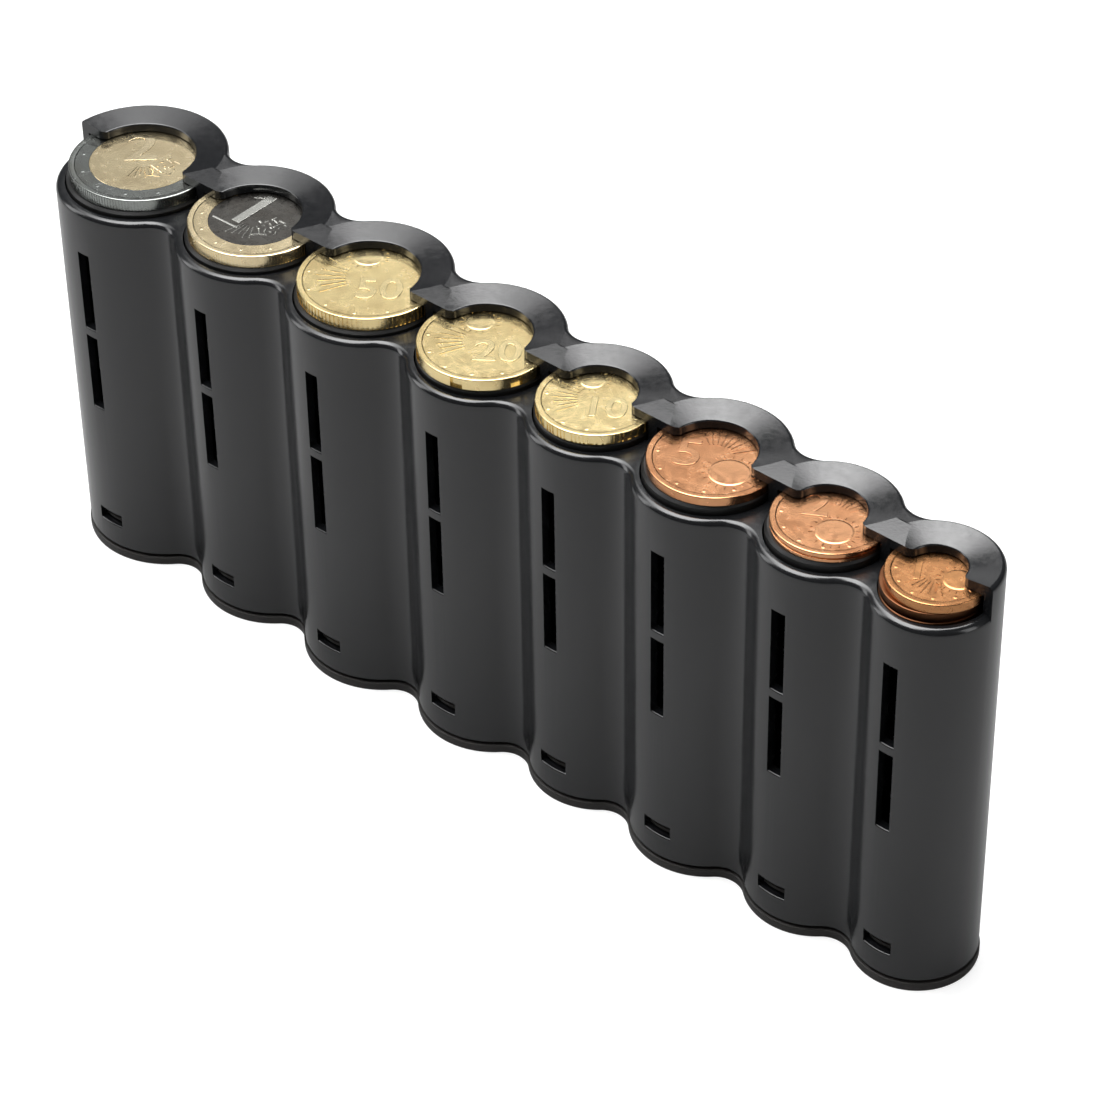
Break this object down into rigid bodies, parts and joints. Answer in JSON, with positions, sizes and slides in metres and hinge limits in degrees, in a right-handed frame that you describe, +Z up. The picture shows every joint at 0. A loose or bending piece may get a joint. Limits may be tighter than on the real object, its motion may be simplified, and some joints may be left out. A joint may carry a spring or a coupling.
{
  "type": "coin holder",
  "caption": "Upright plastic coin holder: a row of spring-loaded tubes with sight slots, open at the front under a thumb lip, on a base cover with latches.",
  "frame": {"origin": "on the ground at the middle of the base cover's underside", "axes": "+X along the row from the largest coin's tube to the smallest coin's, -Y to the open front, +Z up"},
  "size_m": [0.1968, 0.0304, 0.0786],
  "materials": {
    "body_plastic": "fine satin grain, charcoal black",
    "cover_plastic": "fine satin grain, brownish black",
    "follower_plastic": "matt black",
    "spring_steel": "dark oiled wire",
    "silver_metal": "struck, worn bright",
    "gold_metal": "struck, worn bright",
    "copper_metal": "struck, worn bright"
  },
  "bodies": {
    "housing": {"tube_block": "body_plastic", "base_cover": "cover_plastic", "spring_1": "spring_steel", "spring_2": "spring_steel", "spring_3": "spring_steel", "spring_4": "spring_steel", "spring_5": "spring_steel", "spring_6": "spring_steel", "spring_7": "spring_steel", "spring_8": "spring_steel"},
    "coin_stack_1": {"follower_1": "follower_plastic", "top_coin_ring_1": "silver_metal", "top_coin_core_1": "gold_metal"},
    "coin_stack_2": {"follower_2": "follower_plastic", "top_coin_ring_2": "gold_metal", "top_coin_core_2": "silver_metal"},
    "coin_stack_3": {"follower_3": "follower_plastic", "top_coin_3": "gold_metal"},
    "coin_stack_4": {"follower_4": "follower_plastic", "top_coin_4": "gold_metal"},
    "coin_stack_5": {"follower_5": "follower_plastic", "top_coin_5": "gold_metal"},
    "coin_stack_6": {"follower_6": "follower_plastic", "top_coin_6": "copper_metal"},
    "coin_stack_7": {"follower_7": "follower_plastic", "top_coin_7": "copper_metal"},
    "coin_stack_8": {"follower_8": "follower_plastic", "top_coin_8": "copper_metal", "second_coin_8": "copper_metal", "third_coin_8": "copper_metal"}
  },
  "joints": [
    {"name": "tube_1_lift", "type": "slide", "parent": "housing", "child": "coin_stack_1", "axis": [0, 0, 1], "range_m": [-0.0558, 0], "stiffness_N_per_m": 40, "springref_m": 0.03, "deforming": ["spring_1"]},
    {"name": "tube_2_lift", "type": "slide", "parent": "housing", "child": "coin_stack_2", "axis": [0, 0, 1], "range_m": [-0.0557, 0], "stiffness_N_per_m": 40, "springref_m": 0.03, "deforming": ["spring_2"]},
    {"name": "tube_3_lift", "type": "slide", "parent": "housing", "child": "coin_stack_3", "axis": [0, 0, 1], "range_m": [-0.0556, 0], "stiffness_N_per_m": 40, "springref_m": 0.03, "deforming": ["spring_3"]},
    {"name": "tube_4_lift", "type": "slide", "parent": "housing", "child": "coin_stack_4", "axis": [0, 0, 1], "range_m": [-0.0559, 0], "stiffness_N_per_m": 40, "springref_m": 0.03, "deforming": ["spring_4"]},
    {"name": "tube_5_lift", "type": "slide", "parent": "housing", "child": "coin_stack_5", "axis": [0, 0, 1], "range_m": [-0.0561, 0], "stiffness_N_per_m": 40, "springref_m": 0.03, "deforming": ["spring_5"]},
    {"name": "tube_6_lift", "type": "slide", "parent": "housing", "child": "coin_stack_6", "axis": [0, 0, 1], "range_m": [-0.0563, 0], "stiffness_N_per_m": 40, "springref_m": 0.03, "deforming": ["spring_6"]},
    {"name": "tube_7_lift", "type": "slide", "parent": "housing", "child": "coin_stack_7", "axis": [0, 0, 1], "range_m": [-0.0563, 0], "stiffness_N_per_m": 40, "springref_m": 0.03, "deforming": ["spring_7"]},
    {"name": "tube_8_lift", "type": "slide", "parent": "housing", "child": "coin_stack_8", "axis": [0, 0, 1], "range_m": [-0.053, 0], "stiffness_N_per_m": 40, "springref_m": 0.03, "deforming": ["spring_8"]}
  ]
}
